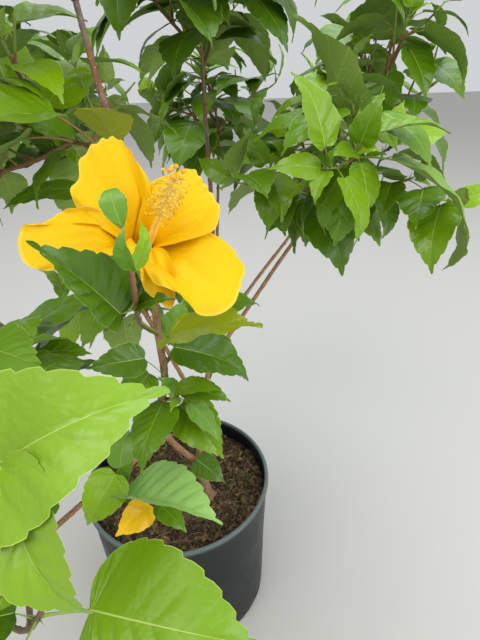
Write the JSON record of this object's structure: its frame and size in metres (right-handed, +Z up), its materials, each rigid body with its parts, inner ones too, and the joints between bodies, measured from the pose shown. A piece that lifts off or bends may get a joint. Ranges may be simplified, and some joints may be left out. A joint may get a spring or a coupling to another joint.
{
  "type": "potted hibiscus shrub",
  "caption": "Hibiscus shrub in a round black nursery pot: slender stems, broad toothed glossy leaves in loose masses, and a large open yellow flower at the front.",
  "frame": {"origin": "centre of the pot's flat underside", "axes": "+Z up along the pot, -Y towards the front of the shrub where the flower opens"},
  "size_m": [0.6985, 0.8045, 0.9943],
  "materials": {
    "bark": "thin grey-brown young bark with pale dots, pinkish on the newest stems",
    "leaf": "glossy living leaf, dark to bright yellow-green, with raised veins",
    "petal": "soft matt yellow petal, deeper gold near the throat, with fine lengthwise folds",
    "pot": "blow-moulded black polyethylene with a dull sheen and light scuffs",
    "soil": "loose bark mulch and root fibres, brown and dry"
  },
  "bodies": {
    "root": {"trunk": "bark", "leader": "bark", "bough_centre": "bark", "bough_back": "bark", "bough_back_left": "bark", "bough_right": "bark", "bough_right_back": "bark", "bough_left": "bark", "bough_fore": "bark", "mass_top": "leaf", "mass_upper_left": "leaf", "mass_flowering": "leaf", "mass_middle": "leaf", "mass_lower": "leaf", "mass_inner": "leaf", "mass_fore": "leaf", "mass_left": "leaf", "mass_left_low": "leaf", "mass_left_back": "leaf", "mass_back_low": "leaf", "mass_back": "leaf", "mass_right": "leaf", "mass_right_back": "leaf", "mass_right_front": "leaf", "mass_centre": "leaf", "bloom": "petal", "pot": "pot", "soil": "soil"}
  },
  "joints": []
}
